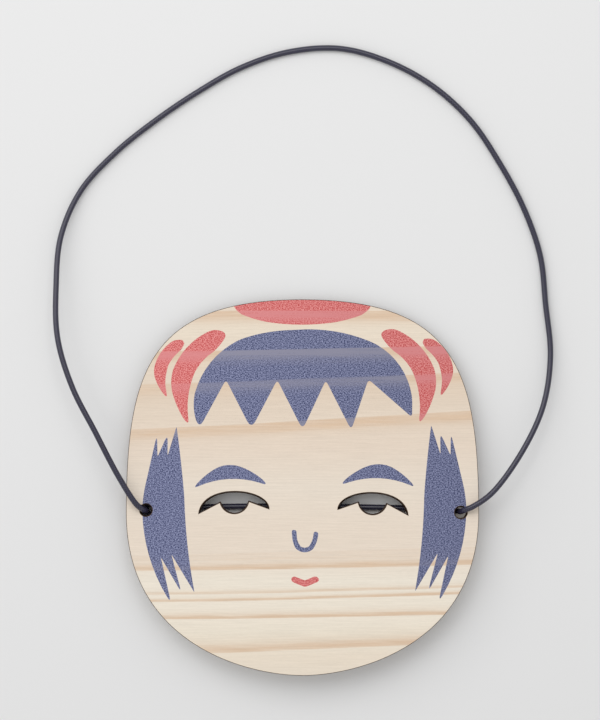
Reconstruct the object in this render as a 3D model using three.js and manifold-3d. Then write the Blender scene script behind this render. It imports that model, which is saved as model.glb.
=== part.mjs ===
// A flat wooden face mask, lying face up, with a loop of elastic cord through its ear holes.
// Millimetres. X runs across the face, Y from the chin to the crown, and the floor is Z = 0.
// The origin is on the floor, under the middle of the board.
import * as THREE from 'three';
import { mergeVertices } from 'three/addons/utils/BufferGeometryUtils.js';
import Module from 'manifold-3d';

// The board, cut from one flat plank
const boardWidth = 158.6;
const boardHeight = 169;
const boardThickness = 4;
const widestBelowMiddle = 11.5; // the face is widest at the cheeks
// How far the outline runs straight on before it turns
const crownReach = 70;
const shoulderReach = 63;
const cheekReach = 59;
const chinReach = 25;

// The cut-outs, which sit a little to the right of the outline's middle and turned on it
const cutShift = 0.5;
const cutTurn = THREE.MathUtils.degToRad( - 0.45 );
const eyeSpread = 62.2; // from the middle of one iris to the other
const eyeLevel = - 7.3;
const earSpread = 141.5;
const earLevel = - 11;
const earHoleDiameter = 6.2;

// One eye, the left one as it is seen, from the middle of its iris: a lid arch with a half-round iris below it
const lidOuterCorner = [ - 16.2, - 5.5 ];
const lidInnerCorner = [ 15.9, - 3.1 ];
// The points that the arch leans towards as it leaves its two corners
const lidOuterPull = [ - 15.2, 9.5 ];
const lidInnerPull = [ 16.2, 7.3 ];
const irisRadius = 6.8;
const irisCentreHeight = 1.5;
const irisInnerEnd = THREE.MathUtils.degToRad( - 11 );
const irisOuterEnd = THREE.MathUtils.degToRad( - 164 );

// The knot that joins the cord's two ends right behind the left ear hole, and lifts the board off the floor
const cordDiameter = 2.6;
const knotLength = 13;
const knotWidth = 8.6;
const knotHeight = 5.4;
const knotCorner = 1.9; // how far its edges are rounded
const knotPlace = [ - 68.4, - 10.4 ];
const touchGap = 0.3;

// The cord's two cut ends, which run out of the knot on its chin side
const cordEnds = [
	[ [ - 71.4, - 11.6, 2.2 ], [ - 74.2, - 13.2, 1.6 ], [ - 75.4, - 16.4, 1.4 ], [ - 74.9, - 20.4, 1.4 ] ],
	[ [ - 65.4, - 11.6, 2.2 ], [ - 60.4, - 12.2, 1.5 ], [ - 56.4, - 12.7, 1.4 ], [ - 52.4, - 13, 1.4 ] ],
];

// The cord from one side of the knot to its top: under the board to the right ear hole, up through it,
// round the loop that lies on the floor past the crown, and down through the left ear hole
const cordRoute = [
	[ - 61.4, - 9.6, 1.9 ], [ - 48, - 9.5, 1.4 ], [ - 28, - 9.1, 1.4 ], [ 0, - 9.1, 1.4 ], [ 30, - 9.5, 1.4 ], [ 54, - 10.1, 1.7 ],
	[ 66.1, - 10.6, 2.8 ], [ 69.4, - 11, 4.8 ], [ 71.2, - 11.1, 8 ], [ 72.9, - 10.2, 11.1 ], [ 76.3, - 8.6, 13.2 ],
	[ 85, - 2.5, 12.4 ], [ 98.7, 15.9, 9.7 ], [ 108.5, 36.5, 6.3 ], [ 112, 59, 3.5 ],
	[ 110, 82, 2 ], [ 107.5, 104.5, 1.5 ], [ 100, 126, 1.4 ], [ 89, 146.5, 1.4 ],
	[ 76, 165.5, 1.4 ], [ 59, 181, 1.4 ], [ 39, 192, 1.4 ], [ 17, 198, 1.4 ],
	[ - 6, 196.5, 1.4 ], [ - 27.7, 189.4, 1.4 ], [ - 48, 178, 1.4 ], [ - 66.7, 165.3, 1.4 ],
	[ - 84.5, 151, 1.4 ], [ - 100.2, 133.7, 2 ], [ - 109, 113, 4.4 ], [ - 110.9, 90, 7.8 ],
	[ - 110, 67, 10.3 ], [ - 103.3, 45, 12 ], [ - 93, 25, 13 ], [ - 82.5, 5, 13.4 ],
	[ - 74.6, - 7.4, 12.8 ], [ - 72.1, - 9.7, 11 ], [ - 70.4, - 10.7, 7.9 ], [ - 70.2, - 10.7, 5.75 ],
];

const arcSteps = 16;
const outlineSteps = 40;
const cordSides = 8;
const cordStepsPerPoint = 2;

// The board leans on the knot, with its crown on the floor
const knotCrownSide = knotPlace[ 1 ] + knotWidth / 2 - knotCorner;
const tilt = Math.asin( ( knotHeight + touchGap ) / ( boardHeight / 2 - knotCrownSide ) );

const wood = new THREE.MeshStandardMaterial( { color: 0xe9dcc8, roughness: 0.7, metalness: 0 } );
const navyCord = new THREE.MeshStandardMaterial( { color: 0x45435a, roughness: 0.8, metalness: 0 } );

const wasm = await Module();
wasm.setup();

function solid( geometry ) {

	const bare = geometry.clone();
	bare.deleteAttribute( 'normal' );
	bare.deleteAttribute( 'uv' );
	const merged = mergeVertices( bare, 1e-4 );
	return new wasm.Manifold( new wasm.Mesh( {
		numProp: 3,
		vertProperties: merged.attributes.position.array,
		triVerts: new Uint32Array( merged.index.array ),
	} ) );

}

function geometryOf( shape ) {

	const mesh = shape.getMesh();
	const geometry = new THREE.BufferGeometry();
	geometry.setAttribute( 'position', new THREE.BufferAttribute( mesh.vertProperties, 3 ) );
	geometry.setIndex( new THREE.BufferAttribute( mesh.triVerts, 1 ) );
	geometry.computeVertexNormals();
	return geometry;

}

// Turns and shifts a cut-out's points with the whole set of cut-outs
function placed( points, x, y ) {

	const middle = new THREE.Vector2();
	return points.map( ( p ) => p.clone().add( new THREE.Vector2( x, y ) ).rotateAround( middle, cutTurn )
		.add( new THREE.Vector2( cutShift, 0 ) ) );

}

function eyePoints( side ) {

	const eye = new THREE.Path().moveTo( ...lidOuterCorner );
	eye.bezierCurveTo( ...lidOuterPull, ...lidInnerPull, ...lidInnerCorner );
	eye.absarc( 0, irisCentreHeight, irisRadius, irisInnerEnd, irisOuterEnd, true );
	eye.closePath();
	return eye.getPoints( arcSteps ).slice( 1 ).map( ( p ) => new THREE.Vector2( - side * p.x, p.y ) );

}

function earPoints() {

	return new THREE.EllipseCurve( 0, 0, earHoleDiameter / 2, earHoleDiameter / 2 ).getPoints( 2 * arcSteps ).slice( 1 );

}

function boardShape() {

	const w = boardWidth / 2;
	const h = boardHeight / 2;
	const widest = - widestBelowMiddle;
	const outline = new THREE.Path().moveTo( 0, - h );
	outline.bezierCurveTo( chinReach, - h, w, widest - cheekReach, w, widest );
	outline.bezierCurveTo( w, widest + shoulderReach, crownReach, h, 0, h );
	outline.bezierCurveTo( - crownReach, h, - w, widest + shoulderReach, - w, widest );
	outline.bezierCurveTo( - w, widest - cheekReach, - chinReach, - h, 0, - h );
	const shape = new THREE.Shape( outline.getPoints( outlineSteps ).slice( 1 ) );
	for ( const side of [ - 1, 1 ] ) {

		shape.holes.push( new THREE.Path( placed( eyePoints( side ), side * eyeSpread / 2, eyeLevel ) ) );
		shape.holes.push( new THREE.Path( placed( earPoints(), side * earSpread / 2, earLevel ) ) );

	}

	return shape;

}

function makeBoard() {

	const geometry = new THREE.ExtrudeGeometry( boardShape(), { depth: boardThickness, bevelEnabled: false } );
	const board = new THREE.Mesh( geometry, wood );
	board.name = 'mask_board';
	board.rotation.x = - tilt;
	board.position.set( 0, - boardThickness * Math.sin( tilt ) / 2, boardHeight / 2 * Math.sin( tilt ) );
	return board;

}

// A smooth line through hand-set points, with as many steps between each two of them
class Route extends THREE.CatmullRomCurve3 {

	getPointAt( t, target ) {

		return this.getPoint( t, target );

	}

	getTangentAt( t, target ) {

		return this.getTangent( t, target );

	}

}

function tube( points ) {

	const section = new THREE.Shape( new THREE.EllipseCurve( 0, 0, cordDiameter / 2, cordDiameter / 2 )
		.getPoints( cordSides ).slice( 1 ) );
	const path = new Route( points.map( ( p ) => new THREE.Vector3( ...p ) ) );
	return new THREE.ExtrudeGeometry( section, { steps: cordStepsPerPoint * ( points.length - 1 ), extrudePath: path } );

}

function makeCord() {

	const cord = new THREE.Mesh( tube( cordRoute ), navyCord );
	cord.name = 'elastic_cord';
	return cord;

}

function makeKnot() {

	const outline = new THREE.Shape( new THREE.EllipseCurve( 0, 0, knotLength / 2, knotWidth / 2 )
		.getPoints( 2 * arcSteps ).slice( 1 ) );
	const lump = new THREE.ExtrudeGeometry( outline, {
		depth: knotHeight - 2 * knotCorner,
		bevelThickness: knotCorner,
		bevelSize: knotCorner,
		bevelOffset: - knotCorner,
		bevelSegments: 4,
	} );
	lump.translate( ...knotPlace, knotCorner );
	const joined = cordEnds.reduce( ( body, end ) => body.add( solid( tube( end ) ) ), solid( lump ) );
	const knot = new THREE.Mesh( geometryOf( joined ), navyCord );
	knot.name = 'cord_knot';
	return knot;

}

const mask = new THREE.Group();
mask.add( makeBoard(), makeCord(), makeKnot() );

export default mask;
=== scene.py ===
import math
import bpy
from mathutils import Matrix, Vector
from mathutils.geometry import interpolate_bezier


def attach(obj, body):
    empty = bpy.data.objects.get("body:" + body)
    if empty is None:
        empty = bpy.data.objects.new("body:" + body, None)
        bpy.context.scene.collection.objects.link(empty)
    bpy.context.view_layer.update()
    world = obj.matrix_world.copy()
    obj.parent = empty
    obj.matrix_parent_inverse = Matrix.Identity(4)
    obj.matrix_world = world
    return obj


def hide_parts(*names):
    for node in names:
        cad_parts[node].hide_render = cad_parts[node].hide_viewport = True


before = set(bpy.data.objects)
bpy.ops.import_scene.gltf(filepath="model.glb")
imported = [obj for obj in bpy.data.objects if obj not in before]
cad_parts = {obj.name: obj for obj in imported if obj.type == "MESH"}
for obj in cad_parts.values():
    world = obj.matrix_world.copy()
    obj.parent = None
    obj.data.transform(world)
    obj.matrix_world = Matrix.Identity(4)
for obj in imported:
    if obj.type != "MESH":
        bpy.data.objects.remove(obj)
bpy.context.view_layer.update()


# Helpers. The dictionaries' lengths are in millimetres and their angles in degrees,
# unless a note says otherwise.
def metres(point):
    return Vector(point) / 1000


def takeUp(thing):
    bpy.ops.object.select_all(action="DESELECT")
    thing.select_set(True)
    bpy.context.view_layer.objects.active = thing


def newObject(name, data):
    thing = bpy.data.objects.new(name, data)
    bpy.context.scene.collection.objects.link(thing)
    return thing


# Colour and nodes
def linear(hexColour):
    channels = [int(hexColour[i:i + 2], 16) / 255 for i in (1, 3, 5)]
    return [c / 12.92 if c <= 0.04045 else ((c + 0.055) / 1.055) ** 2.4 for c in channels] + [1]


def newMaterial(name, roughness, specular):
    material = bpy.data.materials.new(name)
    material.use_nodes = True
    tree = material.node_tree
    shader = tree.nodes["Principled BSDF"]
    shader.inputs["Roughness"].default_value = roughness
    shader.inputs["Specular IOR Level"].default_value = specular
    return material, tree, shader


def addNode(tree, kind, settings=None, links=None):
    node = tree.nodes.new(kind)
    for name, value in (settings or {}).items():
        if isinstance(name, int) or name in node.inputs:
            node.inputs[name].default_value = value
        else:
            setattr(node, name, value)
    for socket, source in (links or {}).items():
        tree.links.new(source, node.inputs[socket])
    return node


def setStops(ramp, stops):
    elements = ramp.color_ramp.elements
    while len(elements) < len(stops):
        elements.new(0.5)  # each is moved to its own place below
    for element, (position, colour) in zip(elements, stops):
        element.position = position
    for element, (position, colour) in zip(elements, stops):
        element.color = colour


# The camera looks straight down on the mask as it lies, a little towards the loop of cord
camera = {
    "across": -1.12,  # from the board's middle
    "towardsCrown": 57.1,
    "height": 1200,
    "widthSeen": 271.8,  # of floor, across the picture
    "pixelsWide": 600,
    "pixelsHigh": 720,
    "sensor": 36,  # along the picture's longer side
    "clipStart": 10,
}


def placeCamera():
    data = bpy.data.cameras.new("camera")
    heightSeen = camera["widthSeen"] * camera["pixelsHigh"] / camera["pixelsWide"]
    data.sensor_width = camera["sensor"]
    data.lens = camera["sensor"] * camera["height"] / heightSeen
    data.clip_start = camera["clipStart"] / 1000
    thing = newObject("camera", data)
    thing.location = metres((camera["across"], camera["towardsCrown"], camera["height"]))
    bpy.context.scene.camera = thing


placeCamera()
print("camera placed")


# A round elastic cord with a braided cover, one loop through both ear holes
cord = {
    "diameter": 2.6,
    "length": 707,
    "sides": 28,
    "step": 0.42,  # of cord from one ring of points to the next
    "stepsBetween": 24,  # the route's points, before they are spaced evenly
    "pathStep": 2,
    "endBulge": 0.3,  # how far a cut end stands out, as a share of the cord's radius
    "strandsEachWay": 7,
    "braidPitch": 7.5,  # of cord for one strand to go once round
    "strandRelief": 0.06,
    # The grooves between the strands are painted darker than the strands' tops, as painted shade
    "grooveShadeColour": "#090912",
    "strandColour": "#38364f",
    "grooveShadeFrom": -0.1,  # how low on a strand's wave the painted shade between strands is darkest, and 1 is its top
    # From one side of the knot, under the board and up through the right ear hole,
    # round the loop that lies on the floor, and down through the left ear hole to the knot's top
    "route": [
        (-61.4, -9.6, 1.9), (-48, -9.5, 1.4), (-28, -9.1, 1.4), (0, -9.1, 1.4), (30, -9.5, 1.4),
        (54, -10.1, 1.7), (66.1, -10.6, 2.8), (69.4, -11, 4.8), (71.2, -11.1, 8), (72.9, -10.2, 11.1),
        (76.3, -8.6, 13.2), (85, -2.5, 12.4), (98.7, 15.9, 9.7), (108.5, 36.5, 6.3), (112, 59, 3.5),
        (110, 82, 2), (107.5, 104.5, 1.5), (100, 126, 1.4), (89, 146.5, 1.4),
        (76, 165.5, 1.4), (59, 181, 1.4), (39, 192, 1.4), (17, 198, 1.4),
        (-6, 196.5, 1.4), (-27.7, 189.4, 1.4), (-48, 178, 1.4), (-66.7, 165.3, 1.4),
        (-84.5, 151, 1.4), (-100.2, 133.7, 2), (-109, 113, 4.4), (-110.9, 90, 7.8),
        (-110, 67, 10.3), (-103.3, 45, 12), (-93, 25, 13), (-82.5, 5, 13.4),
        (-74.6, -7.4, 12.8), (-72.1, -9.7, 11), (-70.4, -10.7, 7.9), (-70.2, -10.7, 5.75),
    ],
}

# The reef knot that joins the cord's ends right behind the left ear hole, as seen from above.
# Its two halves are alike, so both are drawn as the left one, and the right one is mirrored and goes
# under where the left one goes over.
knot = {
    "middle": (-68.4, -10.4),
    "height": 2.7,  # of its middle over the floor
    "rise": 1.3,  # how far the cord goes over and under
    "halfLength": 4.2,
    "cordRadius": 1.2,
    "sides": 20,
    "step": 0.4,
    "stepsBetween": 12,
    "bight": [
        (-2.1, 1.6), (0, 2.1), (2.1, 2.75), (3.7, 2.5), (4.6, 1.2),
        (4.6, -1.2), (3.7, -2.5), (2.1, -2.75), (0, -2.1), (-2.1, -1.6),
    ],
    "leftStart": [(-1.8, -0.3, 6.1), (-2.5, 0.1, 5.3), (-3.4, 0.9, 4.1)],  # comes down out of the ear hole
    "rightStart": [(-6.9, 0.8, 1.8), (-5.6, 1.0, 1.4), (-4.2, 1.15, 1.4)],
    "leftTail": [(-4.2, -1.2, 4), (-5.8, -1.7, 3), (-7.0, -3.2, 1.6), (-7.2, -6, 1.4), (-6.6, -9.8, 1.4)],
    "rightTail": [
        (-4.2, -1.2, 1.4), (-5.8, -1.5, 1.4), (-8, -1.8, 1.4), (-12, -2.3, 1.4), (-15.6, -2.6, 1.4),
    ],
}


def smoothLine(points, steps):
    # a centripetal curve through the given points
    points = [Vector(p) for p in points]
    ends = [2 * points[0] - points[1]] + points + [2 * points[-1] - points[-2]]
    line = []
    for i in range(1, len(ends) - 2):
        before, start, end, after = ends[i - 1:i + 3]
        a, b, c = ((q - p).length ** 0.5 for p, q in ((before, start), (start, end), (end, after)))
        leaving = ((start - before) / a - (end - before) / (a + b) + (end - start) / b) * b
        arriving = ((end - start) / b - (after - start) / (b + c) + (after - end) / c) * b
        for s in range(steps):
            t = s / steps
            line.append(
                (2 * t ** 3 - 3 * t ** 2 + 1) * start + (t ** 3 - 2 * t ** 2 + t) * leaving
                + (3 * t ** 2 - 2 * t ** 3) * end + (t ** 3 - t ** 2) * arriving
            )
    return line + [points[-1]]


def evenly(line, spacing):
    # the same line with its points one spacing apart
    lengths = [(q - p).length for p, q in zip(line, line[1:])]
    count = round(sum(lengths) / spacing)
    wanted = sum(lengths) / count
    spread, gone, i = [line[0]], 0, 0
    for k in range(1, count):
        while gone + lengths[i] < k * wanted:
            gone += lengths[i]
            i += 1
        spread.append(line[i].lerp(line[i + 1], (k * wanted - gone) / lengths[i]))
    return spread + [line[-1]]


def braidHeight(around, along):
    # how high the strands stand: two sets that wind opposite ways, the higher one on top
    turn = along / cord["braidPitch"]
    oneWay = math.cos(math.tau * cord["strandsEachWay"] * (around + turn))
    otherWay = math.cos(math.tau * cord["strandsEachWay"] * (around - turn))
    return cord["strandRelief"] * (max(oneWay, otherWay) - 1) / 2


def ringsAlong(line, radius, sides):
    # rings of points along the line, carried on without twist, and how much cord lies before each ring
    points, lengths = [], []
    along, side = 0, None
    for i, middle in enumerate(line):
        ahead = (line[min(i + 1, len(line) - 1)] - line[max(i - 1, 0)]).normalized()
        if side is None:
            side = ahead.cross(Vector((0, 0, 1))).normalized()
        side = (side - ahead * side.dot(ahead)).normalized()
        up = side.cross(ahead)
        if i:
            along += (middle - line[i - 1]).length
        lengths.append(along)
        for k in range(sides):
            angle = math.tau * k / sides
            reach = radius + braidHeight(k / sides, along)
            points.append(metres(middle + reach * (math.cos(angle) * side + math.sin(angle) * up)))
    return points, lengths


def mapBraid(mesh, sides, lengths):
    # once round the cord across the map, and metres of cord up it
    layer = mesh.uv_layers.new(name="braid")
    onTube = (len(lengths) - 1) * sides
    lastOnRings = len(lengths) * sides - 1
    for face in mesh.polygons:
        closesRing = face.index < onTube and face.index % sides == sides - 1
        for loop in face.loop_indices:
            ring, k = divmod(min(mesh.loops[loop].vertex_index, lastOnRings), sides)
            if k == 0 and closesRing:
                k = sides
            layer.data[loop].uv = (k / sides, lengths[ring] / 1000)


def braidedTube(name, line, radius, sides):
    # a tube with its strands in relief, closed at both ends
    vertices, lengths = ringsAlong(line, radius, sides)
    faces = []
    last = len(line) - 1
    for i in range(last):
        for k in range(sides):
            here, beside = i * sides + k, i * sides + (k + 1) % sides
            faces.append((here, beside, beside + sides, here + sides))
    for ring, inner in ((0, 1), (last, last - 1)):
        outwards = (line[ring] - line[inner]).normalized()
        tip = len(vertices)
        vertices.append(metres(line[ring] + outwards * radius * cord["endBulge"]))
        for k in range(sides):
            here, beside = ring * sides + k, ring * sides + (k + 1) % sides
            faces.append((here, beside, tip) if ring else (beside, here, tip))
    mesh = bpy.data.meshes.new(name)
    mesh.from_pydata(vertices, [], faces)
    mapBraid(mesh, sides, lengths)
    tube = newObject(name, mesh)
    takeUp(tube)
    bpy.ops.object.mode_set(mode="EDIT")
    bpy.ops.mesh.select_all(action="SELECT")
    bpy.ops.mesh.normals_make_consistent(inside=False)
    bpy.ops.object.mode_set(mode="OBJECT")
    bpy.ops.object.shade_smooth()
    return tube


def braidMaterial():
    # Polyester yarn braided over rubber: dark navy, with a soft gleam along it where it faces the light, and
    # painted shade in the grooves between its strands
    material, tree, shader = newMaterial("navy polyester braid", roughness=0.25, specular=0.6)
    uv = addNode(tree, "ShaderNodeUVMap", {"uv_map": "braid"})
    parts = addNode(tree, "ShaderNodeSeparateXYZ", links={0: uv.outputs[0]})
    # how many times a strand has gone round, and then its wave, as braidHeight has it
    turns = addNode(
        tree, "ShaderNodeMath", {"operation": "MULTIPLY", 1: 1000 / cord["braidPitch"]},
        {0: parts.outputs[1]},
    )
    waves = []
    for way in ("ADD", "SUBTRACT"):
        place = addNode(
            tree, "ShaderNodeMath", {"operation": way}, {0: parts.outputs[0], 1: turns.outputs[0]}
        )
        phase = addNode(
            tree, "ShaderNodeMath", {"operation": "MULTIPLY", 1: math.tau * cord["strandsEachWay"]},
            {0: place.outputs[0]},
        )
        waves.append(addNode(tree, "ShaderNodeMath", {"operation": "COSINE"}, {0: phase.outputs[0]}))
    top = addNode(
        tree, "ShaderNodeMath", {"operation": "MAXIMUM"}, {0: waves[0].outputs[0], 1: waves[1].outputs[0]}
    )
    # painted shade: the colour is darkest in the grooves between strands and palest on their tops
    shade = addNode(
        tree, "ShaderNodeMapRange", {"From Min": cord["grooveShadeFrom"], "From Max": 1.0},
        {"Value": top.outputs[0]},
    )
    colour = addNode(
        tree, "ShaderNodeMix",
        {"data_type": "RGBA", 6: linear(cord["grooveShadeColour"]), 7: linear(cord["strandColour"])},
        {0: shade.outputs[0]},
    )
    tree.links.new(colour.outputs[2], shader.inputs["Base Color"])
    return material


def makeKnot():
    middle = Vector((*knot["middle"], 0))
    halves = []
    for side, start, tail in ((1, "leftStart", "leftTail"), (-1, "rightStart", "rightTail")):
        bight = [
            (x, y, knot["height"] - side * knot["rise"] * math.cos(math.pi * x / knot["halfLength"]))
            for x, y in knot["bight"]
        ]
        points = [Vector((side * x, y, z)) + middle for x, y, z in knot[start] + bight + knot[tail]]
        line = evenly(smoothLine(points, knot["stepsBetween"]), knot["step"])
        halves.append(braidedTube("tiedKnot", line, knot["cordRadius"], knot["sides"]))
    tied, other = halves
    takeUp(tied)
    other.select_set(True)
    bpy.ops.object.join()
    tied.data.materials.append(braid)
    return tied


def makeCord():
    line = evenly(smoothLine(cord["route"], cord["stepsBetween"]), cord["step"])
    tube = braidedTube("elasticCord", line, cord["diameter"] / 2, cord["sides"])
    tube.data.materials.append(braid)
    return tube, [metres(p) for p in evenly(line, cord["pathStep"])]


braid = braidMaterial()
tiedKnot = makeKnot()
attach(tiedKnot, "root")
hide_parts("cord_knot")
elasticCord, cordPath = makeCord()
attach(elasticCord, "root")
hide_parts("elastic_cord")
print("cord laid and knotted")


# The board, cut from one flat plank. Its outline has four points, and the reaches are its handles' lengths.
board = {
    "width": 158.6,
    "height": 169,
    "thickness": 4,
    "widestBelowMiddle": 11.5,
    "crownReach": 70,
    "shoulderReach": 63,
    "cheekReach": 59,
    "chinReach": 25,
    "outlineSteps": 40,
    "lift": 5.7,  # how high the knot holds the board
    "liftedAt": -8,  # the knot's crown side, from the board's middle
    "edgeRound": 0.25,  # the scorched edge is a little rounded
    "edgeSteps": 1,
    "mergeWithin": 0.001,
    "flatFrom": 0.99,  # how upright a face's normal is where the face isn't part of an edge
    "smoothBelow": 12,  # faces that meet at less than this are shaded as one
}
tilt = math.asin(board["lift"] / (board["height"] / 2 - board["liftedAt"]))

# The cut-outs sit a little to the right of the outline's middle and are turned on it
cutOuts = {
    "shift": 0.5,
    "turn": -0.45,
    "eyeSpread": 62.2,
    "eyeLevel": -7.3,
    "earSpread": 141.5,
    "earLevel": -11,
    "earHole": 6.2,
    "earSteps": 40,
    # One eye from the middle of its iris: the lid's two corners, the handles of its arch, and the iris
    "lidOuter": (-16.2, -5.5),
    "lidOuterHandle": (-15.2, 9.5),
    "lidInnerHandle": (16.2, 7.3),
    "lidInner": (15.9, -3.1),
    "irisRadius": 6.8,
    "irisMiddle": 1.5,
    "irisFrom": -11,
    "irisTo": -164,
    "eyeSteps": 24,  # along the lid, and again round the iris
    "narrowing": 0.5,  # the laser's cut leaves the openings that much closer in at the back
    "outlineKeeps": 2,  # what lies this near the board's outline isn't part of an opening
}

# The printed face, drawn as if the board lay flat. Each corner is across, up, and how far the line to the
# next corner bows to its left. A fourth number is how far from the corner its rounding starts, where that
# isn't the usual. Shapes in pairs are drawn once, for the left, and mirrored.
printing = {
    "shift": 0.77,
    "turn": 0.3,
    "sideSteps": 8,
    "cornerSteps": 5,
    "rounding": 2,
    "mostRounding": 0.45,  # of a side's length, at each of its ends
    "navy": ["brow", "lock", "fringe", "nose"],
    "red": ["bigPetal", "smallPetal", "crown", "mouth"],
    "inPairs": ["brow", "lock", "bigPetal", "smallPetal"],
    "brow": [(-50.2, -0.8, 0.9, 3), (-38.3, 9.2, 0.8), (-28.3, 9.1, 0.9), (-15.2, 0, -4.1, 5)],
    "lock": [
        (-57.3, 27.5, 0, 1), (-61.4, 14.2, 0, 1), (-61.3, 24.1, 0, 3.5), (-65.9, 13.8, 0, 1),
        (-66.1, 24.1, 0, 4), (-72.7, -4.5, -4, 6), (-59.9, -52, 0, 3.5), (-64.5, -31.3, 0, 1),
        (-55.2, -47.4, 0, 3.5), (-59.8, -30, 0, 1), (-49.4, -47.3, 0.9, 1), (-53.9, -4, -0.2, 3),
    ],
    "bigPetal": [
        (-51.2, 26.6, 1.5, 5.5), (-60.3, 48, 3.3, 5), (-43, 70.1, 1.3, 0.5), (-34.5, 68.9, 1.3),
        (-46, 57.4, -3.2, 6),
    ],
    "smallPetal": [
        (-61.4, 40.1, 1), (-67.6, 51.8, 2.4), (-57.4, 66.8, 2.3), (-54.7, 62.2, -1.6), (-62.8, 49.1, 0, 6),
    ],
    "fringe": [
        (-47.1, 26.4, 1.3, 4), (-49.1, 42.1, 3.7, 0.5), (-28.1, 66.7, 1), (-4, 70.7, 2.3), (31.5, 64.7, 4.1),
        (48.9, 38.7, 0), (48.75, 30.9, 0), (29.2, 48.2, 0), (21.3, 25.3, 0, 3), (10, 47.9, 0),
        (-0.6, 25.6, 0, 3.5), (-11.9, 48.2, 0), (-23.7, 25.9, 0, 4.5), (-35, 48.4, 0),
    ],
    "crown": [
        (33.3, 85.3, 0, 6), (26, 97, 0), (-37, 88.5, 0), (-34.1, 86, -2.1, 7), (-22, 75.4, -2.2, 6),
        (20.3, 75.1, -2.1, 6),
    ],
    "nose": [
        (-5.8, -19.3, 0, 1.5), (-5.3, -24.9, -4.1), (5.3, -25.7, 0), (6.5, -20.6, 0), (4.3, -20, 0, 1),
        (3.5, -24.7, 2.6), (-3.3, -24.7, 0), (-3.6, -19.4, 0, 1),
    ],
    "mouth": [
        (-5.2, -39.9, 0, 1.2), (0.1, -42, 0, 0.7), (5, -39.9, 0.3, 1.5), (6.7, -42.3, 0, 1.3),
        (0.2, -45, 0, 1), (-5, -42.9, 0.9, 0.5),
    ],
}


def arcPoint(start, end, bow, share):
    # a point on the arc from start to end that bows to the left by that much
    if not bow:
        return start.lerp(end, share)
    chord = end - start
    left = Vector((-chord.y, chord.x)).normalized()
    half = chord.length / 2
    radius = (half ** 2 + bow ** 2) / (2 * bow)
    middle = start + chord / 2 + left * (bow - radius)
    angle = -4 * math.atan(bow / half) * share
    return middle + Matrix.Rotation(angle, 2) @ (start - middle)


def roundedOutline(corners):
    points = [Vector(corner[:2]) for corner in corners]
    cuts = [corner[3] if len(corner) > 3 else printing["rounding"] for corner in corners]
    most, cornerSteps = printing["mostRounding"], printing["cornerSteps"]
    sides = []
    for i, start in enumerate(points):
        after = (i + 1) % len(points)
        end, bow = points[after], corners[i][2]
        length = (end - start).length
        leaving = min(cuts[i] / length, most)
        arriving = 1 - min(cuts[after] / length, most)
        steps = printing["sideSteps"] if bow else 1
        shares = [leaving + (arriving - leaving) * s / steps for s in range(steps + 1)]
        sides.append([arcPoint(start, end, bow, share) for share in shares])
    outline = []
    for i, side in enumerate(sides):
        corner, before = points[i], sides[i - 1][-1]
        for s in range(1, cornerSteps):
            t = s / cornerSteps
            outline.append((1 - t) ** 2 * before + 2 * t * (1 - t) * corner + t ** 2 * side[0])
        outline += side
    return outline


def drawnIn(points, distance, sharpest=0.3):
    # an outline made that much smaller all round, without spikes at its sharpest corners
    count = len(points)
    area = sum(p.cross(points[(i + 1) % count]) for i, p in enumerate(points))
    smaller = []
    for i, p in enumerate(points):
        before, after = (p - points[i - 1]).normalized(), (points[(i + 1) % count] - p).normalized()
        ways = [Vector((-w.y, w.x)) * math.copysign(1, area) for w in (before, after)]
        inwards = (ways[0] + ways[1]) / max(1 + ways[0].dot(ways[1]), sharpest)
        smaller.append(p + inwards * distance)
    return smaller


def turnedAndShifted(points, group):
    turn = Matrix.Rotation(math.radians(group["turn"]), 2)
    return [turn @ p + Vector((group["shift"], 0)) for p in points]


def bezierPoints(start, startHandle, endHandle, end, steps):
    return [Vector(p[:2]) for p in interpolate_bezier(start, startHandle, endHandle, end, steps + 1)[:-1]]


def boardOutline():
    w, h, widest = board["width"] / 2, board["height"] / 2, -board["widestBelowMiddle"]
    chin, crown = board["chinReach"], board["crownReach"]
    low, high = widest - board["cheekReach"], widest + board["shoulderReach"]
    quarters = [
        ((0, -h), (chin, -h), (w, low), (w, widest)),
        ((w, widest), (w, high), (crown, h), (0, h)),
        ((0, h), (-crown, h), (-w, high), (-w, widest)),
        ((-w, widest), (-w, low), (-chin, -h), (0, -h)),
    ]
    points = []
    for quarter in quarters:
        points += bezierPoints(*[Vector(q) for q in quarter], board["outlineSteps"])
    return points


def eyeOutline(side):
    steps = cutOuts["eyeSteps"]
    lid = [Vector(cutOuts[name]) for name in ("lidOuter", "lidOuterHandle", "lidInnerHandle", "lidInner")]
    points = bezierPoints(*lid, steps) + [lid[3]]
    start, end = math.radians(cutOuts["irisFrom"]), math.radians(cutOuts["irisTo"])
    irisMiddle = Vector((0, cutOuts["irisMiddle"]))
    for s in range(steps + 1):
        angle = start + (end - start) * s / steps
        points.append(irisMiddle + Vector((math.cos(angle), math.sin(angle))) * cutOuts["irisRadius"])
    middle = Vector((side * cutOuts["eyeSpread"] / 2, cutOuts["eyeLevel"]))
    placed = [Vector((-side * p.x, p.y)) + middle for p in drawnIn(points, board["edgeRound"])]
    return turnedAndShifted(placed, cutOuts)


def earOutline(side):
    middle = Vector((side * cutOuts["earSpread"] / 2, cutOuts["earLevel"]))
    angles = [math.tau * s / cutOuts["earSteps"] for s in range(cutOuts["earSteps"])]
    points = [middle + Vector((math.cos(a), math.sin(a))) * cutOuts["earHole"] / 2 for a in angles]
    return turnedAndShifted(drawnIn(points, board["edgeRound"]), cutOuts)


def printedShapes():
    # every printed shape's outline, with its ink's colour
    shapes = []
    for colour in ("navy", "red"):
        for name in printing[colour]:
            for side in (-1, 1) if name in printing["inPairs"] else (-1,):
                points = [Vector((-side * p.x, p.y)) for p in roundedOutline(printing[name])]
                shapes.append((colour, turnedAndShifted(points, printing)))
    return shapes


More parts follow.
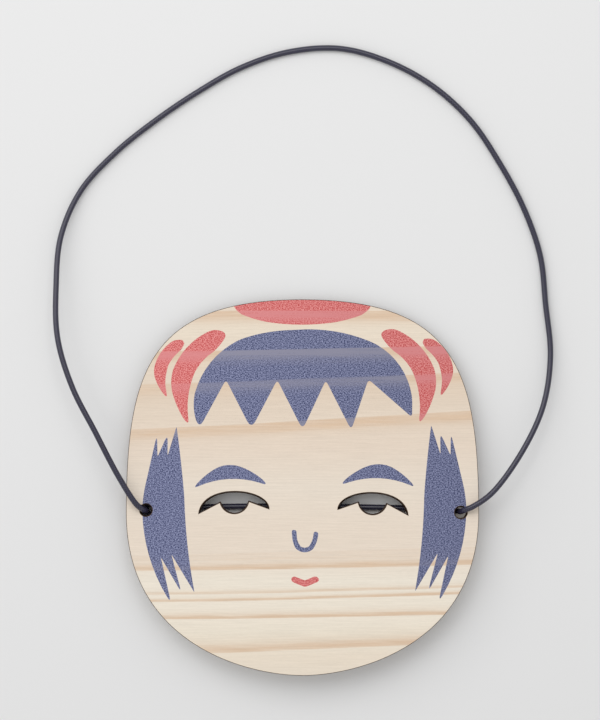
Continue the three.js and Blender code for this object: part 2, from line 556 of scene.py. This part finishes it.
def inside(point, outline):
    crossings = 0
    for a, b in zip(outline, outline[1:] + outline[:1]):
        if (a.y > point.y) != (b.y > point.y):
            crossings += point.x < a.x + (b.x - a.x) * (point.y - a.y) / (b.y - a.y)
    return crossings % 2 == 1


# The wood's growth rings and fibres, right through the plank
grain = {
    # Soft patches: how many to the mm across the board and up it, how fine, and how rough
    "wanderPatches": (0.02, 0.03, 1, 0.5),
    "jitterPatches": (0.25, 0.5, 2, 0.5),
    "fibrePatches": (0.05, 1.7, 3, 0.7),
    "fleckPatches": (0.45, 2.2, 2, 0.6),
    "streakPatches": [(0.03, 0.35, 2, 0.5), (0.05, 1.5, 2, 0.5)],
    "wander": 0.5,  # how far the rings go up and down
    "jitter": 0.12,
    "fibre": 0.13,  # how much darker or paler, as a share
    "fleck": 0.05,
    "streaks": [0.35, 0.7],
    "bump": 0.25,  # how far the fibres stand out
    # Each growth ring: how far its sharp edge is over the board's middle, its slope, how dark it is,
    # how wide its dark band is, where it has faded out, and 1 where the edge faces the crown, -1 the chin
    "rings": [
        (79.3, 0.0, 0.95, 4, 9, 1),
        (62.2, 0.02, 1.1, 3.4, 12, 1),
        (48.7, 0.038, 0.78, 3.4, 12, 1),
        (29.8, 0.057, 0.9, 4, 9, 1),
        (-29.0, 0.025, 0.18, 1.2, 4, 1),
        (-32.4, 0.02, 0.16, 1.0, 4, -1),
        (-36.7, 0.021, 0.95, 1.9, 7, -1),
        (-47.3, 0.029, 0.65, 1.0, 3.5, -1),
        (-50.4, 0.031, 1.0, 1.0, 3, -1),
        (-58.6, 0.0183, 1.05, 1.3, 5, -1),
        (-72.8, 0.042, 0.9, 2.6, 9, -1),
    ],
    # How dark a ring is from its sharp edge on, where 0.5 is plain wood: at mm from the edge,
    # at shares of its dark band, and at shares of the way from there to where it has faded out
    "lead": 3.5,  # where the wood before the edge begins to turn paler
    "edgeShades": [(-0.9, 0.47), (-0.25, 0.44), (0.25, 0.93)],
    "bandShades": [(0.6, 1), (1, 0.86)],
    "fadingShades": [(0.2, 0.66), (0.5, 0.56)],
    "levelBefore": -40,  # across, where the rings that face the chin turn level
    "levelSoftly": 20,
    "leftRings": 0.87,  # the rings are a little darker on the right
    "rightRings": 1.18,
    "lateColour": "#d9bfa5",  # the dark wood that ends a year's growth
    "earlyColour": "#f0e5d5",  # the pale wood that begins it
    # The wood's colour between the rings, from the chin up
    "tones": [
        (-84, "#e4d8c7"), (-76, "#e6d9c7"), (-66, "#e7ddcc"), (-59, "#eae0d0"), (-42, "#e9e0d1"),
        (-30, "#e4d6c6"), (-18, "#e4d6c6"), (0, "#e4d8c9"), (18, "#e2d2c1"), (34, "#e0d0be"),
        (42, "#decdba"), (50, "#e1d2c0"), (71, "#e5d8c6"), (84, "#e2d1be"),
    ],
}

# The cut edges, browned by the laser
scorch = {
    "patches": (0.4, 1.2, 2, 0.5),
    "dark": "#33251c",
    "light": "#5c4636",
}

# The two inks, each where it lies thick, where it is thin, and over the hard rings
ink = {
    "speckPatches": (1.5, 2.8, 3, 0.7),
    "specksFrom": 0.455,  # where a patch begins to be thin ink, and where it is the thinnest
    "specksTo": 0.545,
    "ringsFrom": 0.1,  # how late the wood is where a ring begins to show, and where it shows fully
    "ringsTo": 1.05,
    "coversBelow": -25,  # up the board: under this the ink nearly hides the rings
    "coversNoMore": 15,
    "coveredShow": 0.3,  # what still shows of the rings there, as a share
    "leftTone": 1.07,  # the ink lies a little thicker, and so darker, on the right
    "rightTone": 0.92,
    "navy": {"deep": "#2e365d", "thin": "#8d92b3", "onRings": "#8a899c"},
    "red": {"deep": "#ba403f", "thin": "#e79593", "onRings": "#d68687"},
}
overWidth = {"From Min": -board["width"] / 2, "From Max": board["width"] / 2}
overHeight = {"From Min": -board["height"] / 2, "From Max": board["height"] / 2}


def restPlace():
    # where the middle of the board's back comes when it leans on the knot, with its crown on the floor
    return metres((0, -board["thickness"] * math.sin(tilt) / 2, board["height"] / 2 * math.sin(tilt)))


def placeOnBoard(tree):
    # millimetres on the board as it lay flat
    seen = addNode(tree, "ShaderNodeTexCoord")
    lie = {"Location": restPlace(), "Rotation": (-tilt, 0, 0), "Scale": (0.001, 0.001, 0.001)}
    return addNode(
        tree, "ShaderNodeMapping", {"vector_type": "TEXTURE", **lie}, {"Vector": seen.outputs["Object"]}
    ).outputs[0]


def softPatches(tree, flat, across, up, detail, roughness):
    # noise that is drawn out along the grain
    stretched = addNode(
        tree, "ShaderNodeVectorMath", {"operation": "MULTIPLY", 1: (across, up, 1)}, {0: flat}
    )
    return addNode(
        tree, "ShaderNodeTexNoise", {"Scale": 1, "Detail": detail, "Roughness": roughness},
        {"Vector": stretched.outputs[0]},
    ).outputs[0]


def unevenly(tree, flat, patches, amount, around):
    # a value that differs by up to that amount from patch to patch
    return addNode(
        tree, "ShaderNodeMath", {"operation": "MULTIPLY_ADD", 1: 2 * amount, 2: around - amount},
        {0: softPatches(tree, flat, *patches)},
    ).outputs[0]


def growthRings(tree, flat, across, height):
    # how late in its year's growth the wood is, over 0 in a dark band and under 0 in the palest wood
    levelled = addNode(
        tree, "ShaderNodeMath",
        {"operation": "SMOOTH_MAX", 1: grain["levelBefore"], 2: grain["levelSoftly"]}, {0: across},
    ).outputs[0]
    lead = grain["lead"]
    lateness = None
    for at, slope, strength, band, fade, outwards in grain["rings"]:
        # how far up the board, less the ring's slope, and then how far along the ring
        level = addNode(
            tree, "ShaderNodeMath", {"operation": "MULTIPLY_ADD", 1: -slope},
            {0: across if outwards > 0 else levelled, 2: height},
        )
        along = addNode(
            tree, "ShaderNodeMapRange",
            {"From Min": at + outwards * lead, "From Max": at - outwards * fade},
            {"Value": level.outputs[0]},
        )
        ramp = addNode(tree, "ShaderNodeValToRGB", links={0: along.outputs[0]})
        shades = [(-lead, 0.5)] + grain["edgeShades"]
        shades += [(share * band, shade) for share, shade in grain["bandShades"]]
        shades += [(band + share * (fade - band), shade) for share, shade in grain["fadingShades"]]
        shades += [(fade, 0.5)]
        setStops(ramp, [((d + lead) / (fade + lead), (shade, shade, shade, 1)) for d, shade in shades])
        ring = addNode(
            tree, "ShaderNodeMath", {"operation": "MULTIPLY_ADD", 1: 2 * strength, 2: -strength},
            {0: ramp.outputs[0]},
        ).outputs[0]
        if lateness:
            ring = addNode(tree, "ShaderNodeMath", {"operation": "ADD"}, {0: lateness, 1: ring}).outputs[0]
        lateness = ring
    darker = addNode(
        tree, "ShaderNodeMapRange",
        {**overWidth, "To Min": grain["leftRings"], "To Max": grain["rightRings"]}, {"Value": across},
    ).outputs[0]
    streaks = [
        unevenly(tree, flat, patches, amount, 1)
        for patches, amount in zip(grain["streakPatches"], grain["streaks"])
    ]
    for factor in streaks + [darker]:
        lateness = addNode(
            tree, "ShaderNodeMath", {"operation": "MULTIPLY"}, {0: lateness, 1: factor}
        ).outputs[0]
    return lateness


def woodGrain(tree, flat):
    place = addNode(tree, "ShaderNodeSeparateXYZ", links={0: flat})
    across, up = place.outputs[0], place.outputs[1]
    wander = unevenly(tree, flat, grain["wanderPatches"], grain["wander"], 0)
    jitter = unevenly(tree, flat, grain["jitterPatches"], grain["jitter"], 0)
    sway = addNode(tree, "ShaderNodeMath", {"operation": "ADD"}, {0: wander, 1: jitter})
    height = addNode(tree, "ShaderNodeMath", {"operation": "ADD"}, {0: up, 1: sway.outputs[0]}).outputs[0]
    lateness = growthRings(tree, flat, across, height)
    fromChin = addNode(tree, "ShaderNodeMapRange", overHeight, {"Value": height})
    tone = addNode(tree, "ShaderNodeValToRGB", links={0: fromChin.outputs[0]})
    setStops(tone, [(at / board["height"] + 0.5, linear(colour)) for at, colour in grain["tones"]])
    late = addNode(
        tree, "ShaderNodeMix", {"data_type": "RGBA", "clamp_factor": True, 7: linear(grain["lateColour"])},
        {0: lateness, 6: tone.outputs[0]},
    )
    early = addNode(tree, "ShaderNodeMath", {"operation": "MULTIPLY", 1: -1}, {0: lateness})
    pale = addNode(
        tree, "ShaderNodeMix", {"data_type": "RGBA", "clamp_factor": True, 7: linear(grain["earlyColour"])},
        {0: early.outputs[0], 6: late.outputs[2]},
    )
    fibre = unevenly(tree, flat, grain["fibrePatches"], grain["fibre"], 0)
    fleck = unevenly(tree, flat, grain["fleckPatches"], grain["fleck"], 1)
    fibres = addNode(tree, "ShaderNodeMath", {"operation": "ADD"}, {0: fibre, 1: fleck}).outputs[0]
    shaded = addNode(
        tree, "ShaderNodeMix", {"data_type": "RGBA", "blend_type": "MULTIPLY", 0: 1.0},
        {6: pale.outputs[2], 7: fibres},
    )
    relief = addNode(
        tree, "ShaderNodeBump", {"Strength": 1.0, "Distance": grain["bump"] / 1000}, {"Height": fibres}
    )
    return {
        "colour": shaded.outputs[2], "relief": relief.outputs[0],
        "lateness": lateness, "across": across, "up": up,
    }


def softwoodMaterial():
    # Sanded, unfinished softwood cut along the grain: pale cream with brown growth rings right across
    material, tree, shader = newMaterial("sanded softwood", roughness=0.62, specular=0.25)
    wood = woodGrain(tree, placeOnBoard(tree))
    tree.links.new(wood["colour"], shader.inputs["Base Color"])
    tree.links.new(wood["relief"], shader.inputs["Normal"])
    return material


def scorchedMaterial():
    # The cut edge, browned by the laser, darker in some fibres than in others
    material, tree, shader = newMaterial("laser scorched edge", roughness=0.75, specular=0.2)
    char = addNode(
        tree, "ShaderNodeMix", {"data_type": "RGBA", 6: linear(scorch["dark"]), 7: linear(scorch["light"])},
        {0: softPatches(tree, placeOnBoard(tree), *scorch["patches"])},
    )
    tree.links.new(char.outputs[2], shader.inputs["Base Color"])
    return material


def inkMaterial(name):
    # Matt ink printed straight on the wood: specked where fibres show through, and pale on the hard rings
    material, tree, shader = newMaterial(name + " print on softwood", roughness=0.6, specular=0.25)
    colours = {part: linear(colour) for part, colour in ink[name].items()}
    flat = placeOnBoard(tree)
    wood = woodGrain(tree, flat)
    specks = addNode(
        tree, "ShaderNodeMapRange", {"From Min": ink["specksFrom"], "From Max": ink["specksTo"]},
        {"Value": softPatches(tree, flat, *ink["speckPatches"])},
    )
    film = addNode(
        tree, "ShaderNodeMix", {"data_type": "RGBA", 6: colours["deep"], 7: colours["thin"]},
        {0: specks.outputs[0]},
    )
    hard = addNode(
        tree, "ShaderNodeMapRange", {"From Min": ink["ringsFrom"], "From Max": ink["ringsTo"]},
        {"Value": wood["lateness"]},
    )
    covering = addNode(
        tree, "ShaderNodeMapRange",
        {"From Min": ink["coversBelow"], "From Max": ink["coversNoMore"], "To Min": ink["coveredShow"]},
        {"Value": wood["up"]},
    )
    showing = addNode(
        tree, "ShaderNodeMath", {"operation": "MULTIPLY"}, {0: hard.outputs[0], 1: covering.outputs[0]}
    )
    printedWood = addNode(
        tree, "ShaderNodeMix", {"data_type": "RGBA", 7: colours["onRings"]},
        {0: showing.outputs[0], 6: film.outputs[2]},
    )
    thickness = addNode(
        tree, "ShaderNodeMapRange", {**overWidth, "To Min": ink["leftTone"], "To Max": ink["rightTone"]},
        {"Value": wood["across"]},
    )
    toned = addNode(
        tree, "ShaderNodeVectorMath", {"operation": "SCALE"},
        {0: printedWood.outputs[2], "Scale": thickness.outputs[0]},
    )
    tree.links.new(toned.outputs[0], shader.inputs["Base Color"])
    tree.links.new(wood["relief"], shader.inputs["Normal"])
    return material


def mergeDoubles():
    bpy.ops.mesh.select_all(action="SELECT")
    bpy.ops.mesh.remove_doubles(threshold=board["mergeWithin"] / 1000)


def cutPlank():
    # the outline and its openings as one filled curve, as thick as the plank and rounded at its edges
    curve = bpy.data.curves.new("maskBoard", "CURVE")
    curve.dimensions = "2D"
    curve.fill_mode = "BOTH"
    curve.extrude = (board["thickness"] / 2 - board["edgeRound"]) / 1000
    curve.bevel_depth = board["edgeRound"] / 1000
    curve.bevel_resolution = board["edgeSteps"]
    curve.offset = -board["edgeRound"] / 1000
    openings = [shape(side) for side in (-1, 1) for shape in (eyeOutline, earOutline)]
    for outline in [boardOutline()] + openings:
        spline = curve.splines.new("POLY")
        spline.points.add(len(outline) - 1)
        spline.use_cyclic_u = True
        for point, place in zip(spline.points, outline):
            point.co = (*metres(place), 0, 1)
    takeUp(newObject("maskBoard", curve))
    bpy.ops.object.convert(target="MESH")
    bpy.ops.object.mode_set(mode="EDIT")
    mergeDoubles()
    bpy.ops.mesh.normals_make_consistent(inside=False)
    bpy.ops.object.mode_set(mode="OBJECT")
    return bpy.context.view_layer.objects.active


def narrowOpenings(plank):
    # the openings' walls lean in towards the back, so that they show as a dark line from the front
    edge = [p / 1000 for p in boardOutline()]
    near = cutOuts["outlineKeeps"] / 1000
    for vertex in plank.data.vertices:
        place = Vector(vertex.co[:2])
        if vertex.co.z < 0 and min((place - p).length for p in edge) > near:
            vertex.co += Vector((*vertex.normal[:2], 0)).normalized() * cutOuts["narrowing"] / 1000


def uprightRibbons(shapes):
    # an upright ribbon along each printed shape's outline, to cut the board's faces with
    vertices, faces = [], []
    for colour, outline in shapes:
        first, count = len(vertices), len(outline)
        for z in (-board["thickness"], board["thickness"]):
            vertices += [metres((p.x, p.y, z)) for p in outline]
        for i in range(count):
            beside = (i + 1) % count
            faces.append((first + i, first + beside, first + count + beside, first + count + i))
    mesh = bpy.data.meshes.new("uprightRibbons")
    mesh.from_pydata(vertices, [], faces)
    return newObject("uprightRibbons", mesh)


def cutAlong(plank, ribbons):
    # cuts the plank's faces where the ribbons go through them, and takes the ribbons away again
    slot = len(plank.data.materials)
    mark = bpy.data.materials.new("ribbonMark")
    plank.data.materials.append(mark)
    ribbons.data.materials.append(mark)
    takeUp(plank)
    bpy.ops.object.mode_set(mode="EDIT")
    bpy.ops.mesh.select_all(action="DESELECT")
    bpy.ops.object.mode_set(mode="OBJECT")
    for face in ribbons.data.polygons:
        face.select = True
    ribbons.select_set(True)
    bpy.ops.object.join()
    bpy.ops.object.mode_set(mode="EDIT")
    bpy.ops.mesh.intersect(mode="SELECT_UNSELECT", separate_mode="NONE", solver="EXACT")
    bpy.ops.mesh.select_all(action="DESELECT")
    plank.active_material_index = slot
    bpy.ops.object.material_slot_select()
    bpy.ops.mesh.delete(type="FACE")
    bpy.ops.mesh.select_all(action="SELECT")
    bpy.ops.mesh.delete_loose()
    mergeDoubles()
    bpy.ops.mesh.quads_convert_to_tris()
    bpy.ops.object.mode_set(mode="OBJECT")
    plank.data.materials.pop(index=slot)
    bpy.data.materials.remove(mark)


def giveFinishes(plank, shapes):
    # the walls and roundings are scorched, and the face is bare wood or ink
    slots = list(finishes)
    for face in plank.data.polygons:
        finish = "edge" if abs(face.normal.z) < board["flatFrom"] else "wood"
        if face.normal.z > board["flatFrom"]:
            middle = Vector(face.center[:2]) * 1000
            for colour, outline in shapes:
                if inside(middle, outline):
                    finish = colour
        face.material_index = slots.index(finish)


def makeBoard():
    shapes = printedShapes()
    plank = cutPlank()
    narrowOpenings(plank)
    for material in finishes.values():
        plank.data.materials.append(material)
    cutAlong(plank, uprightRibbons(shapes))
    giveFinishes(plank, shapes)
    lie = Matrix.Rotation(-tilt, 4, "X") @ Matrix.Translation(metres((0, 0, board["thickness"] / 2)))
    plank.data.transform(Matrix.Translation(restPlace()) @ lie)
    takeUp(plank)
    bpy.ops.object.shade_smooth_by_angle(angle=math.radians(board["smoothBelow"]))
    return plank


finishes = {
    "wood": softwoodMaterial(),
    "edge": scorchedMaterial(),
    "navy": inkMaterial("navy"),
    "red": inkMaterial("red"),
}
maskBoard = makeBoard()
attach(maskBoard, "root")
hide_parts("mask_board")
print("board cut and printed, faces:", len(maskBoard.data.polygons))


# Floor and light. Sizes and places here are in metres. Both lamps stand on the crown's side,
# in an evenly lit room.
studio = {
    "floorSize": 6,
    "floorColour": "#e4e4e4",
    "room": 0.67,
    "lamps": {
        "high softbox": {"place": (0, 0.55, 0.866), "size": 0.7, "power": 2.4},
        "left softbox": {"place": (-1.247, 0.86, 1.338), "size": 1.7, "power": 11.7},
    },
    "aim": (0, 0.05, 0),
}


def layFloor():
    bpy.ops.mesh.primitive_plane_add(size=studio["floorSize"])
    floor = bpy.context.object
    floor.name = "floor"
    material, tree, shader = newMaterial("matt grey paper", roughness=0.9, specular=0.2)
    shader.inputs["Base Color"].default_value = linear(studio["floorColour"])
    floor.data.materials.append(material)


def lightStudio():
    world = bpy.data.worlds.new("softRoom")
    world.use_nodes = True
    background = world.node_tree.nodes["Background"]
    background.inputs["Color"].default_value = (1, 1, 1, 1)
    background.inputs["Strength"].default_value = studio["room"]
    bpy.context.scene.world = world
    for name, lamp in studio["lamps"].items():
        data = bpy.data.lights.new(name, "AREA")
        data.size = lamp["size"]
        data.energy = lamp["power"]
        thing = newObject(name, data)
        thing.location = lamp["place"]
        thing.rotation_euler = (Vector(studio["aim"]) - thing.location).to_track_quat("-Z", "Y").to_euler()


layFloor()
lightStudio()
bpy.context.scene.view_settings.view_transform = "Standard"
print("floor and light set")
